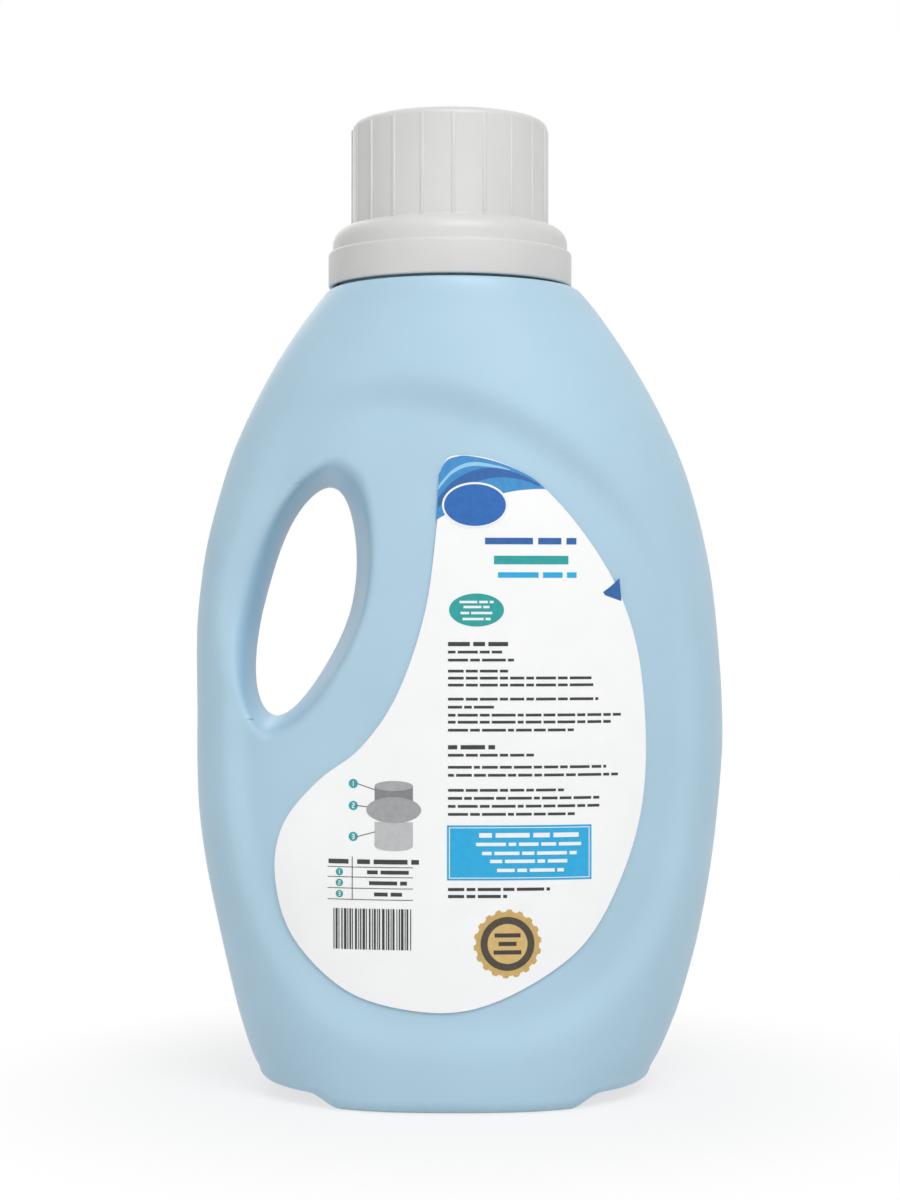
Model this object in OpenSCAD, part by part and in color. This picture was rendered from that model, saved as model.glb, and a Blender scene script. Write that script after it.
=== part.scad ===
// Fabric softener bottle: blown body with a moulded-in handle, pouring insert,
// measuring cap and two adhesive labels. Millimetres, +Z up, standing on Z = 0.
// The origin is on the floor, in the middle of the width and of the depth.
// The handle is towards -X. The back of the pack, with the small print, faces -Y.

/* [Bottle body] */
// Width across the whole bottle, handle included
body_w = 157; // [150:1:170]
// Depth between the two faces
body_d = 92; // [86:1:100]
// Height of the flat shoulder deck under the cap
shoulder_z = 238; // [232:1:250]
// Distance of the neck axis from the middle of the width, towards the handle
neck_offset = 2.8; // [0:0.2:5]
// Wall thickness of the blown shell
body_wall = 1.1; // [0.8:0.1:1.6]
// Radius of the round shoulder edge below the cap skirt
collar_r = 35.5; // [35:0.1:37]

/* [Base] */
// Radius of the heel where the wall turns into the base
heel_r = 4; // [3:0.5:6]
// Height that the heel is lifted at both ends of the base
heel_lift = 3.6; // [2:0.2:5]
// Half length of each standing foot, along the width
foot_reach = 33; // [28:1:38]
// Length over which a foot rises to the lifted heel
foot_ramp = 9; // [6:1:12]
// Width of the flat that the bottle stands on
foot_w = 6; // [4:0.5:8]
// Height of the push-up under the base
push_up = 5; // [3:0.5:8]
// Width of the slope from a foot's flat to the push-up
dish_w = 14; // [10:1:16]

/* [Handle] */
// Height of the finger hole
hole_h = 68.5; // [60:0.5:72]
// Width of the finger hole at its widest
hole_w = 26.4; // [24:0.2:30]
// Distance from the shoulder deck down to the top of the finger hole
hole_drop = 59; // [56:1:66]
// Distance from the outer edge to the top end of the finger hole
grip_w_top = 32; // [28:0.2:33]
// Distance from the outer edge to the bottom end of the finger hole
grip_w_bottom = 23.4; // [22:0.2:26]
// Bend of the finger hole's middle line away from the outer edge
hole_bow = 1.8; // [0:0.2:3]
// Depth of the handle, front to back
grip_d = 37; // [32:1:42]
// Radius of the soft crease around the finger hole
crease_r = 4; // [2:0.5:6]

/* [Label panel] */
// Depth of the recessed panel
panel_depth = 3.6; // [2:0.1:4.2]
// Width of the sloping band around the panel
panel_band = 9.5; // [7:0.5:12]
// Distance from the widest part of the body to the edge of the panel
panel_side = 8; // [6:0.5:12]
// Distance from the shoulder deck down to the top of the panel
panel_drop = 27; // [24:1:32]
// Height of the bottom of the panel
panel_bottom_z = 14; // [12:1:20]
// Sideways lean of the top of the panel, towards the handle
panel_lean = 25; // [18:1:28]

/* [Labels] */
// Width of a label
label_w = 106; // [96:1:108]
// Height of a label
label_h = 157; // [146:1:158]
// Height of the middle of a label
label_mid_z = 107.7; // [104:0.5:110]
// Thickness of the label film
film_t = 0.2; // [0.1:0.05:0.4]
// Gap that the adhesive layer fills
glue_gap = 0.45; // [0.4:0.05:0.5]

/* [Neck and pouring insert] */
// Inside radius of the neck
neck_in_r = 30.9; // [30.6:0.1:31.4]
// Wall thickness of the neck
neck_wall = 2.1; // [1.8:0.1:2.2]
// Height of the neck above the shoulder deck
neck_h = 8.4; // [7.5:0.1:9]
// Depth by which the neck's tube reaches below the shoulder deck's wall
neck_root = 0.6; // [0.4:0.1:1]
// Radial clearance between the insert and the neck
insert_gap = 0.15; // [0.1:0.05:0.2]
// Wall thickness of the insert
insert_wall = 1.3; // [1:0.1:1.4]
// Thickness of the insert's flange on the neck rim
flange_t = 1.4; // [1:0.1:1.8]
// Width by which the insert's flange stands over the neck rim
flange_lap = 0.4; // [0:0.1:0.8]
// Depth of the insert below the shoulder deck
insert_drop = 20; // [19:0.5:24]
// Fall of the insert's floor towards the spout
floor_fall = 1.2; // [0.5:0.1:2]
// Outside radius of the spout
spout_r = 19.6; // [17:0.2:20]
// Height of the spout's lip above the shoulder deck, on the pouring side
spout_h = 33; // [28:1:36]
// Slope of the cut that forms the lip, in degrees
lip_slope = 14; // [8:1:16]
// Width of the slot that drains drips back into the bottle
drain_w = 9; // [6:1:12]
// Height of that slot
drain_h = 13; // [9:1:16]
// Depth of the slot's sill below the insert's floor
drain_sill = 0.4; // [0.2:0.1:0.6]

/* [Measuring cap] */
// Height of the cap from the skirt's edge to the roof
cap_h = 49.2; // [46:0.1:54]
// Gap between the shoulder deck and the skirt's edge
skirt_gap = 0.6; // [0.4:0.1:1]
// Room between the insert's flange and the inside of the skirt
skirt_room = 1.4; // [1.2:0.1:2]
// Wall thickness of the skirt
skirt_wall = 1.6; // [1.4:0.1:1.8]
// Height of the straight part of the skirt
skirt_h = 9.6; // [8:0.1:11]
// Width of the ledge between the skirt and the rounded flange above it
skirt_step = 1.3; // [1:0.1:1.5]
// Height of the rounded flange above the skirt
shoulder_h = 8.2; // [7:0.1:9]
// Radius of the flange's rounded top
shoulder_round = 5.2; // [4:0.1:5.5]
// Width by which the sealing ring stands over the neck rim
seal_lap = 0.5; // [0.2:0.1:1]
// Wall thickness of the flange
flange_wall = 1.6; // [1.3:0.1:1.8]
// Thickness of the grip's wall at the cup's mouth
grip_wall = 1.9; // [1.7:0.1:2.4]
// Wall thickness of the cap's roof
roof_t = 1.8; // [1.4:0.1:2.4]
// Radius of the edge around the roof
roof_edge_r = 2.4; // [1.5:0.1:3]
// Room for the thread between the insert and the sleeve
thread_room = 0.85; // [0.7:0.05:1.2]
// Amount by which the cup narrows towards the roof
cup_taper = 0.3; // [0.1:0.1:0.5]
// Wall thickness of the threaded sleeve
sleeve_wall = 1.3; // [1.1:0.1:1.5]
// Length of the sleeve below the insert's flange
sleeve_l = 25.5; // [22:0.5:26]
// Number of fill lines inside the cup
fill_count = 3; // [1:1:3]
// Distance between fill lines, and from the roof to the first
fill_step = 14; // [10:1:16]
// Height that a fill line stands out from the wall
fill_h = 0.3; // [0.2:0.05:0.4]
// Number of ribs around the grip
rib_count = 20; // [16:1:24]
// Width of one rib
rib_w = 1.1; // [0.8:0.1:1.6]
// Height that a rib stands out from the grip
rib_h = 0.35; // [0.2:0.05:0.5]
// Turn of the ribs around the cap, in degrees
rib_turn = 2; // [0:1:17]
// Gap between the cap and the insert's flange
seat_gap = 0.1; // [0.05:0.05:0.2]

/* [Hidden] */
$fn = 96;

half_w = body_w / 2;
half_d = body_d / 2;
neck_x = -neck_offset;
neck_r = neck_in_r + neck_wall;
neck_top_z = shoulder_z + neck_h;
hole_top_z = shoulder_z - hole_drop;
hole_bottom_z = hole_top_z - hole_h;
// Share of the hole's height that lies above its widest place
hole_upper_share = 0.54;
hole_wide_z = hole_top_z - hole_upper_share * hole_h;
panel_top_z = shoulder_z - panel_drop;
panel_mid_z = (panel_top_z + panel_bottom_z) / 2;
panel_half_h = (panel_top_z - panel_bottom_z) / 2;
panel_half_w = half_w - panel_side;

// Columns of faces on the handle's part and on the body's part of a row
outer_cols = [12, 32];
inner_cols = [6, 16];
// Rows of faces below, beside and above the finger hole
outer_row_counts = [11, 14, 9];
inner_row_counts = [5, 10, 6];
// Distances from an end of the finger hole to the rows next to it
end_steps = hole_h * [0.015, 0.052, 0.118];
// Share of the width where those two parts meet, away from the hole
split_share = 0.27;
// Distance to the right of the split line over which the hole pushes the columns aside
push_reach = 42;
// Height over which the lift of the heel fades out
heel_fade = 6 * heel_r;
// Radius of the heel on the inside of the wall
inner_heel_r = 0.7 * heel_r;
// Steps of the slope under the base: share of the push-up, share of the slope's width
dish_steps = [[1, 1], [0.75, 0.5], [0.2, 0.14], [0, 0]];
// Angles at which the heel has rows
heel_steps = [30, 60];
// Roundness of the hole's lower end: 1 is an ellipse
hole_low_power = 0.8;
// How far the hole's flank spreads: its mean, its growth towards the handle, its growth both ways
flank_spread = [0.45, 0.01, 0.03];
// How straight the flank is away from the handle: 0 is a quarter of an ellipse, 1 is a ramp
flank_ramp = 0.9;
// Squareness of the panel's edge below and above its middle, and bend of its lean
panel_powers = [2.5, 2.2];
lean_power = 2.7;
// Distance that counts as none
tiny = 0.01;
// Share of the shoulder's height at which the wall turns into the deck
deck_share = 0.998;

// Left edge: height as a share of the shoulder's, distance from the middle as a share of half the width
left_edge = [
    [0.000, 0.735], [0.030, 0.780], [0.069, 0.817], [0.138, 0.869], [0.214, 0.921], [0.283, 0.963],
    [0.345, 0.989], [0.410, 0.998], [0.470, 0.998], [0.565, 1.000], [0.614, 0.990], [0.680, 0.961],
    [0.755, 0.902], [0.801, 0.855], [0.857, 0.778], [0.909, 0.692], [0.952, 0.607],
    [deck_share, 0.499], [1.000, (collar_r + neck_offset) / half_w]
];
// Right edge, the same way
right_edge = [
    [0.000, 0.700], [0.042, 0.764], [0.090, 0.817], [0.145, 0.869], [0.200, 0.911], [0.276, 0.953],
    [0.345, 0.979], [0.415, 0.997], [0.455, 1.000], [0.520, 0.992], [0.608, 0.969], [0.667, 0.942],
    [0.746, 0.883], [0.806, 0.817], [0.879, 0.706], [0.946, 0.578],
    [deck_share, 0.453], [1.000, (collar_r - neck_offset) / half_w]
];
// Half depth as a share of half the body's depth
depth_edge = [
    [0.000, 0.975], [0.120, 1.000], [0.500, 1.000], [0.680, 0.985], [0.800, 0.940], [0.900, 0.883],
    [0.960, 0.843], [deck_share, 0.814], [1.000, collar_r / half_d]
];
// Squareness of the plan section: 2 is an ellipse
section_power = [[0.000, 2.25], [0.300, 2.40], [0.700, 2.30], [0.900, 2.08], [1.000, 2.00]];
// Share of the depth that the section loses towards the handle
grip_taper = [[0.000, 0.00], [0.250, 0.04], [0.450, 0.24], [0.750, 0.26], [0.900, 0.08], [1.000, 0.00]];

// Outline of a label: shares of half its width and half its height, clockwise from the top
label_outline = [
    [0.01, 1.00], [0.215, 0.975], [0.455, 0.88], [0.70, 0.687], [0.877, 0.474], [0.977, 0.219],
    [1.00, -0.149], [0.919, -0.437], [0.717, -0.721], [0.451, -0.879], [0.087, -0.991],
    [-0.249, -1.00], [-0.615, -0.93], [-0.904, -0.743], [-1.00, -0.522], [-0.951, -0.335],
    [-0.76, -0.177], [-0.53, -0.055], [-0.334, 0.139], [-0.185, 0.438], [-0.12, 0.766], [-0.09, 0.963]
];
// The point that the label's rings close in on
label_heart = [0.109, -0.242];
label_samples = 56;
label_rings = [0.16, 0.32, 0.46, 0.6, 0.72, 0.83, 0.92, 1];

function lerp(a, b, t) = a + (b - a) * t;
function clamp(v, low, high) = min(max(v, low), high);
function smooth(t) = let (u = clamp(t, 0, 1)) u * u * (3 - 2 * u);
function soft_min(a, b, r) = let (h = max(r - abs(a - b), 0)) min(a, b) - h * h / (4 * r);
function cos_step(a, b, t) = lerp(a, b, (1 - cos(180 * t)) / 2);

// Height of a smooth curve through knots at place s
function knot_below(k, s, i = 0) = i >= len(k) - 2 || s < k[i + 1][0] ? i : knot_below(k, s, i + 1);
function knot_slope(k, i) =
    let (a = max(i - 1, 0), b = min(i + 1, len(k) - 1)) (k[b][1] - k[a][1]) / (k[b][0] - k[a][0]);
function curve(k, s) =
    let (i = knot_below(k, s), h = k[i + 1][0] - k[i][0], t = (s - k[i][0]) / h)
    k[i][1] * (1 + 2 * t) * (1 - t) * (1 - t) + k[i + 1][1] * t * t * (3 - 2 * t)
    + h * knot_slope(k, i) * t * (1 - t) * (1 - t) - h * knot_slope(k, i + 1) * t * t * (1 - t);

// Edges of the silhouette at height z
function left_x(z) = -half_w * curve(left_edge, z / shoulder_z);
function right_x(z) = half_w * curve(right_edge, z / shoulder_z);

// Middle line and half width of the finger hole, grown by e
function hole_mid_x(z) =
    let (t = (z - hole_bottom_z) / hole_h)
    lerp(left_x(hole_bottom_z) + grip_w_bottom, left_x(hole_top_z) + grip_w_top, t)
    + hole_bow * pow(sin(180 * clamp(t, 0, 1)), 2);
function hole_rise(z, e) =
    z > hole_wide_z
    ? (z - hole_wide_z) / (hole_top_z + e - hole_wide_z)
    : pow((hole_wide_z - z) / (hole_wide_z - hole_bottom_z + e), hole_low_power);
function hole_half_w(z, e) = (hole_w / 2 + e) * sqrt(max(1 - pow(hole_rise(z, e), 2), 0));
// 1 on the hole's edge, more outside it
function hole_gauge(x, z, e) = norm([(x - hole_mid_x(z)) / (hole_w / 2 + e), hole_rise(z, e)]);

// How deep the panel is at a place: its edge is a leaning oval
function panel_gauge(x, z) =
    let (
        v = (z - panel_mid_z) / panel_half_h,
        lean = v > 0 ? panel_lean * pow(v, lean_power) : 0,
        p = panel_powers[v > 0 ? 1 : 0]
    )
    pow(pow(abs((x + lean) / panel_half_w), p) + pow(abs(v), p), 1 / p);
function panel_recess(x, z) = panel_depth * smooth((1 - panel_gauge(x, z)) * panel_half_w / panel_band);

// Half depth of the plain body, e inside its surface
function plain_half_d(x, z, e) =
    let (
        s = z / shoulder_z,
        low = left_x(z) + e,
        high = right_x(z) - e,
        t = clamp((2 * x - low - high) / (high - low), -1, 1),
        p = curve(section_power, s),
        taper = t < 0 ? curve(grip_taper, s) * t * t : 0
    )
    (half_d * curve(depth_edge, s) - e) * pow(max(1 - pow(abs(t), p), 0), 1 / p) * (1 - taper);

// Half depth that the flank of the finger hole allows
function flank_half_d(x, z, e) =
    let (
        q = hole_gauge(x, z, e),
        n = (x - hole_mid_x(z)) / (hole_w / 2 + e) / q,
        spread = flank_spread * [1, n, n * n],
        top = (n < 0 ? lerp(half_d, grip_d / 2, n * n) : half_d) - e,
        s = clamp((q - 1) / spread, 0, 1)
    )
    top * lerp(sqrt(1 - (1 - s) * (1 - s)), s, flank_ramp * pow(max(n, 0), 2));

// Half depth of the finished body
function half_depth(x, z, e) =
    let (plain = plain_half_d(x, z, e), cut = min(panel_recess(x, z), plain / 2))
    max(soft_min(plain - cut, flank_half_d(x, z, e), min(crease_r, plain / 2 + tiny)), 0);

// A row of points: [height, height at which the outline is read, distance inside the surface]
function is_open(row) = row[0] < hole_top_z + row[2] - tiny && row[0] > hole_bottom_z - row[2] + tiny;
function is_tip(row) =
    abs(row[0] - hole_top_z - row[2]) < tiny || abs(row[0] - hole_bottom_z + row[2]) < tiny;
// Share of the width at which the hole's middle line lies
function hole_share(z) = (hole_mid_x(z) - left_x(z)) / (right_x(z) - left_x(z));
function split_x(row) =
    let (
        z = row[0],
        share = z > hole_top_z
            ? lerp(hole_share(hole_top_z), split_share, (z - hole_top_z) / (shoulder_z - hole_top_z))
            : lerp(split_share, hole_share(hole_bottom_z), z / hole_bottom_z)
    )
    is_open(row) || is_tip(row) ? hole_mid_x(z) : lerp(left_x(z), right_x(z), share);

function heel_rise(x, z) =
    let (mid = (left_x(0) + right_x(0)) / 2)
    heel_lift * smooth((abs(x - mid) - foot_reach) / foot_ramp) * clamp(1 - z / heel_fade, 0, 1);

// Distance from the split line once the finger hole has pushed it aside, within a reach
function pushed(d, gap, reach) = d < reach ? d + gap * (1 - d / reach) * (1 - d / reach) : d;

function row_x(row, c, cols) =
    let (
        mid = split_x(row),
        gap = is_open(row) ? hole_half_w(row[0], row[2]) : 0,
        low = left_x(row[1]) + row[2],
        high = right_x(row[1]) - row[2]
    )
    c <= cols[0]
    ? mid - pushed(cos_step(mid - low, 0, c / cols[0]), gap, mid - low)
    : mid + pushed(cos_step(0, high - mid, (c - cols[0] - 1) / cols[1]), gap, push_reach);

function on_seam(row, c, cols) =
    c == 0 || c == cols[0] + cols[1] + 1
    || ((is_open(row) || is_tip(row)) && (c == cols[0] || c == cols[0] + 1));

function skin_points(rows, cols) = [
    for (row = rows, side = [-1, 1], c = [0 : cols[0] + cols[1] + 1])
        let (x = row_x(row, c, cols), y = on_seam(row, c, cols) ? 0 : half_depth(x, row[1], row[2]))
        [x, side * y, row[0] + heel_rise(x, row[0])]
];

// Number of the point in row i, on a side and in a column: shared points have one number
function point_id(rows, cols, i, side, c) =
    let (
        merged = c == cols[0] + 1 && !is_open(rows[i]) ? cols[0] : c,
        s = on_seam(rows[i], merged, cols) ? 0 : side
    )
    (2 * i + s) * (cols[0] + cols[1] + 2) + merged;

// Two triangles for each patch of a skin, facing out, or in when flipped
function skin_faces(rows, cols, start, flipped) = [
    for (i = [0 : len(rows) - 2], side = [0, 1], c = [0 : cols[0] + cols[1]])
        if (c != cols[0])
            let (
                a = start + point_id(rows, cols, i, side, c),
                b = start + point_id(rows, cols, i + 1, side, c),
                d = start + point_id(rows, cols, i + 1, side, c + 1),
                f = start + point_id(rows, cols, i, side, c + 1),
                turned = flipped ? side == 0 : side == 1
            )
            for (tri = turned ? [[a, d, b], [a, f, d]] : [[a, b, d], [a, d, f]])
                if (tri[0] != tri[1] && tri[1] != tri[2] && tri[0] != tri[2]) tri
];

// The loop of points around one row, left seam first
function row_loop(rows, cols, i, start) =
    let (last = cols[0] + cols[1] + 1)
    concat(
        [for (c = [0 : last]) if (c != cols[0] + 1) start + point_id(rows, cols, i, 0, c)],
        [for (c = [last - 1 : -1 : 1]) if (c != cols[0] + 1) start + point_id(rows, cols, i, 1, c)]
    );

function reversed(v) = [for (i = [len(v) - 1 : -1 : 0]) v[i]];

// Heights of the rows that climb the wall: even steps below and above the hole, finer near its ends
function wall_heights(e, counts) =
    let (
        top = hole_top_z + e,
        bottom = hole_bottom_z - e,
        reach = end_steps[len(end_steps) - 1],
        below = counts[0] - 1
    )
    concat(
        [for (i = [0 : below]) lerp(heel_r, bottom - 1.5 * reach, i / below)],
        [for (d = reversed(end_steps)) bottom - d],
        [for (i = [0 : counts[1]]) cos_step(bottom, top, i / counts[1])],
        [for (d = end_steps) top + d],
        [for (i = [1 : counts[2] - 1]) lerp(top + reach, shoulder_z, i / counts[2])]
    );

bore_inset = collar_r - neck_r + neck_wall / 2;
foot_inset = heel_r + foot_w;
outer_rows = concat(
    [for (step = dish_steps) [step[0] * push_up, heel_r, foot_inset + step[1] * dish_w]],
    [[0, heel_r, heel_r]],
    [for (a = heel_steps) [heel_r * (1 - cos(a)), heel_r, heel_r * (1 - sin(a))]],
    [for (z = wall_heights(0, outer_row_counts)) [z, z, 0]],
    [for (z = shoulder_z * [deck_share, 1]) [z, z, 0]],
    [[shoulder_z, shoulder_z, bore_inset]]
);
inner_heel_z = body_wall + inner_heel_r;
inner_rows = concat(
    [
        [push_up + body_wall, heel_r, foot_inset + dish_w],
        [body_wall, heel_r, foot_inset],
        [body_wall, heel_r, inner_heel_z]
    ],
    [for (z = wall_heights(body_wall, inner_row_counts)) [max(z, inner_heel_z), z, body_wall]],
    [[shoulder_z - body_wall, shoulder_z - body_wall, body_wall],
        [shoulder_z - body_wall, shoulder_z, bore_inset]]
);

// The bore's wall joins the fine rim of the outer skin to the coarse rim of the inner skin
function bore_faces(fine, coarse) = [
    for (i = [0 : len(coarse) - 1])
        let (
            a = fine[2 * i],
            b = fine[2 * i + 1],
            c = fine[(2 * i + 2) % len(fine)],
            p = coarse[i],
            q = coarse[(i + 1) % len(coarse)]
        )
        for (tri = [[a, p, b], [b, p, q], [b, q, c]]) tri
];

module blown_shell() {
    outer = skin_points(outer_rows, outer_cols);
    inner = skin_points(inner_rows, inner_cols);
    start = len(outer);
    polyhedron(
        points = concat(outer, inner),
        faces = concat(
            skin_faces(outer_rows, outer_cols, 0, false),
            skin_faces(inner_rows, inner_cols, start, true),
            [row_loop(outer_rows, outer_cols, 0, 0), reversed(row_loop(inner_rows, inner_cols, 0, start))],
            bore_faces(row_loop(outer_rows, outer_cols, len(outer_rows) - 1, 0),
                row_loop(inner_rows, inner_cols, len(inner_rows) - 1, start))
        ),
        convexity = 8
    );
}

module neck_tube() {
    foot = shoulder_z - body_wall - neck_root;
    translate([neck_x, 0, foot])
        difference() {
            cylinder(r = neck_r, h = neck_top_z - foot);
            translate([0, 0, -1]) cylinder(r = neck_in_r, h = neck_top_z - foot + 2);
        }
}

module bottle_body() {
    color([0.69, 0.83, 0.90])
        union() {
            blown_shell();
            neck_tube();
        }
}

insert_out_r = neck_in_r - insert_gap;
insert_in_r = insert_out_r - insert_wall;
flange_top_z = neck_top_z + flange_t;
floor_z = shoulder_z - insert_drop;
spout_in_r = spout_r - insert_wall;
lip_z = shoulder_z + spout_h;
// Size of a block that is larger than any piece of the closure
clear_block = 90;

module pour_spout() {
    spout_floor_z = floor_z - floor_fall;
    color([0.93, 0.95, 0.96])
        translate([neck_x, 0, 0])
            difference() {
                rotate_extrude()
                    polygon([
                        [insert_in_r, flange_top_z], [neck_r + flange_lap, flange_top_z],
                        [neck_r + flange_lap, neck_top_z], [insert_out_r, neck_top_z],
                        [insert_out_r, floor_z - insert_wall], [spout_r, spout_floor_z - insert_wall],
                        [spout_in_r, spout_floor_z - insert_wall], [spout_in_r, lip_z],
                        [spout_r, lip_z], [spout_r, spout_floor_z], [insert_in_r, floor_z]
                    ]);
                translate([spout_r, -clear_block / 2, lip_z])
                    rotate([0, -lip_slope, 0])
                        translate([-clear_block, 0, 0]) cube([1.5 * clear_block, clear_block, clear_block]);
                translate([-spout_r - drain_sill, -drain_w / 2, spout_floor_z - drain_sill])
                    cube([insert_wall + 2 * drain_sill, drain_w, drain_h]);
            }
}

skirt_z = shoulder_z + skirt_gap;
cap_top_z = skirt_z + cap_h;
flange_step_z = skirt_z + skirt_h;
flange_end_z = flange_step_z + shoulder_h;
seat_z = flange_top_z + seat_gap;
mouth_z = flange_top_z - sleeve_l;
cup_floor_z = cap_top_z - roof_t;
sleeve_r = insert_in_r - thread_room;
cup_r = sleeve_r - sleeve_wall;
grip_r = cup_r + grip_wall;
seal_r = neck_in_r + seal_lap;
skirt_in_r = neck_r + flange_lap + skirt_room;
skirt_r = skirt_in_r + skirt_wall;
shoulder_r = skirt_r - skirt_step;
core_r = shoulder_r - flange_wall;
// Rounding of the mouth's and the skirt's edges
edge_break = 0.4;
arc_steps = 6;

// Points of an arc around a centre, between two angles
function arc(centre, r, from, to) =
    [for (i = [0 : arc_steps]) let (a = lerp(from, to, i / arc_steps)) centre + r * [cos(a), sin(a)]];

// Inside radius of the cup at height z
function cup_r_at(z) = lerp(cup_r, cup_r - cup_taper, (z - mouth_z) / (cup_floor_z - mouth_z));

cap_profile = concat(
    [[0, cap_top_z]],
    arc([grip_r - roof_edge_r, cap_top_z - roof_edge_r], roof_edge_r, 90, 0),
    [[grip_r, flange_end_z]],
    arc([shoulder_r - shoulder_round, flange_end_z - shoulder_round], shoulder_round, 90, 0),
    [
        [shoulder_r, flange_step_z + skirt_r - shoulder_r], [skirt_r, flange_step_z],
        [skirt_r, skirt_z + edge_break], [skirt_r - edge_break, skirt_z],
        [skirt_in_r, skirt_z], [skirt_in_r, seat_z - flange_t],
        [core_r, seat_z], [core_r, flange_end_z - shoulder_round],
        [seal_r, flange_end_z - shoulder_round + core_r - seal_r], [seal_r, seat_z],
        [sleeve_r, seat_z], [sleeve_r, mouth_z + edge_break], [sleeve_r - edge_break, mouth_z],
        [cup_r, mouth_z], [cup_r - cup_taper, cup_floor_z], [0, cup_floor_z]
    ]
);

module grip_ribs() {
    for (i = [0 : rib_count - 1])
        rotate([0, 0, 360 * i / rib_count + rib_turn])
            translate([grip_r - rib_w, -rib_w / 2, flange_end_z - rib_w])
                cube([rib_w + rib_h, rib_w, cap_top_z - roof_edge_r - flange_end_z + rib_w]);
}

module fill_lines() {
    for (i = [1 : fill_count])
        let (z = cup_floor_z - i * fill_step)
            rotate_extrude()
                translate([cup_r_at(z) - fill_h, z]) square([2 * fill_h, 2 * fill_h]);
}

module measuring_cap() {
    color([0.83, 0.83, 0.82])
        translate([neck_x, 0, 0])
            union() {
                rotate_extrude() polygon(cap_profile);
                grip_ribs();
                fill_lines();
            }
}

// Point of a closed smooth curve through the label's outline, at place u
function outline_knot(i) = label_outline[(i + len(label_outline)) % len(label_outline)];
function outline_at(u) =
    let (
        i = floor(u),
        t = u - i,
        a = outline_knot(i - 1),
        b = outline_knot(i),
        c = outline_knot(i + 1),
        d = outline_knot(i + 2)
    )
    0.5 * (2 * b + (c - a) * t + (2 * a - 5 * b + 4 * c - d) * t * t + (3 * b - a - 3 * c + d) * t * t * t);

// Point of a label's skin that lies e off the body, at a share of the way from heart to outline
function label_point(i, share, side, e) =
    let (
        p = lerp(label_heart, outline_at(i * len(label_outline) / label_samples), share),
        x = p[0] * label_w / 2,
        z = label_mid_z + p[1] * label_h / 2
    )
    [x, side * half_depth(x, z, -e), z];

// One film: its inner skin, its outer skin and the cut edge between them
module label_film(side) {
    n = label_samples;
    ring_count = len(label_rings);
    skin_size = 1 + ring_count * n;
    points = [
        for (e = [glue_gap, glue_gap + film_t])
            each concat([label_point(0, 0, side, e)],
                [for (share = label_rings, i = [0 : n - 1]) label_point(i, share, side, e)])
    ];
    // Triangles of the outer skin, as seen from the front
    skin = concat(
        [for (i = [0 : n - 1]) [0, 1 + i, 1 + (i + 1) % n]],
        [for (k = [0 : ring_count - 2], i = [0 : n - 1])
            let (a = 1 + k * n + i, b = 1 + k * n + (i + 1) % n)
            each [[a, a + n, b + n], [a, b + n, b]]]
    );
    edge = [
        for (i = [0 : n - 1])
            let (a = skin_size - n + i, b = skin_size - n + (i + 1) % n)
            each [[a, b, b + skin_size], [a, b + skin_size, a + skin_size]]
    ];
    outward = concat(
        [for (f = skin) f + [skin_size, skin_size, skin_size]],
        [for (f = skin) reversed(f)],
        edge
    );
    faces = side < 0 ? outward : [for (f = outward) reversed(f)];
    polyhedron(points = points, faces = faces, convexity = 4);
}

module back_label() {
    color([0.97, 0.97, 0.97]) label_film(-1);
}

module front_label() {
    color([0.97, 0.97, 0.97]) label_film(1);
}

bottle_body();
pour_spout();
measuring_cap();
back_label();
front_label();
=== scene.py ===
# Fabric softener bottle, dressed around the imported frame: a blow-moulded body with a
# handle, a pouring insert, a screw-on measuring cap and two printed film labels.
import math

import bmesh
import bpy
from mathutils import Matrix, Vector


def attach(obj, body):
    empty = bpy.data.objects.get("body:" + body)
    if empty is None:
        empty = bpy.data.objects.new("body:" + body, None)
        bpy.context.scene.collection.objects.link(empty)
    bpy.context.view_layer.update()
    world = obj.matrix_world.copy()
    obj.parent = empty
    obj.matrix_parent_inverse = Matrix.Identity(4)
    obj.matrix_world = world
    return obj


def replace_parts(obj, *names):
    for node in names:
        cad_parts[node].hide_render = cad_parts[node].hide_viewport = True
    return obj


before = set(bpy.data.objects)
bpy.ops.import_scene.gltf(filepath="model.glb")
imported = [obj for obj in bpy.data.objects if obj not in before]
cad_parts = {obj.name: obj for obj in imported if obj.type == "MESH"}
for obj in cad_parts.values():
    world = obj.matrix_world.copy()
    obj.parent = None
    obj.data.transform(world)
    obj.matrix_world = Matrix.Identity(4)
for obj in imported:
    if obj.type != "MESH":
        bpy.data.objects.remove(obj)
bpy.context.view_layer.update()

MM = 0.001

# Sizes, in millimetres

body_w, body_d, shoulder_z = 157.0, 92.0, 238.0
neck_x = -2.8
body_wall = 1.1
collar_r = 35.5
heel_r, heel_lift, foot_reach, foot_ramp, foot_w = 4.0, 3.6, 33.0, 9.0, 6.0
push_up, dish_w = 5.0, 14.0
hole_h, hole_w, hole_drop, hole_bow = 68.5, 26.4, 59.0, 1.8
grip_w_top, grip_w_bottom, grip_d, crease_r = 32.0, 23.4, 37.0, 4.0
# Above the hole's widest height lies this share of its height
hole_upper_share = 0.54
# How far the hole's flank spreads: its mean, its growth towards the handle, its growth both ways
flank_spread = (0.45, 0.01, 0.03)
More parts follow.
